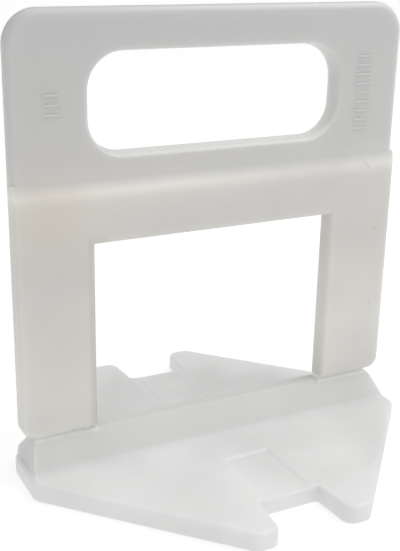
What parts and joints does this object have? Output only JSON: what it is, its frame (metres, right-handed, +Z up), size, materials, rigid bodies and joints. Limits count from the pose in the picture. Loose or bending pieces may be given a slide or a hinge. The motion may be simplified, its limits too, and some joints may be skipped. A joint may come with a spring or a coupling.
{
  "type": "tile levelling clip",
  "caption": "Translucent moulded plastic tile levelling clip with a windowed upper panel, break-off legs, a ridge and a notched base plate.",
  "frame": {"origin": "middle of the base plate's underside, on the surface that the clip stands on", "axes": "+Z up along the legs, +X across the web from leg to leg, -Y to the front, the side that the panel steps back from"},
  "size_m": [0.0356, 0.033, 0.0381],
  "materials": {
    "natural_polypropylene": "satin"
  },
  "bodies": {
    "root": {"clip": "natural_polypropylene"}
  },
  "joints": []
}
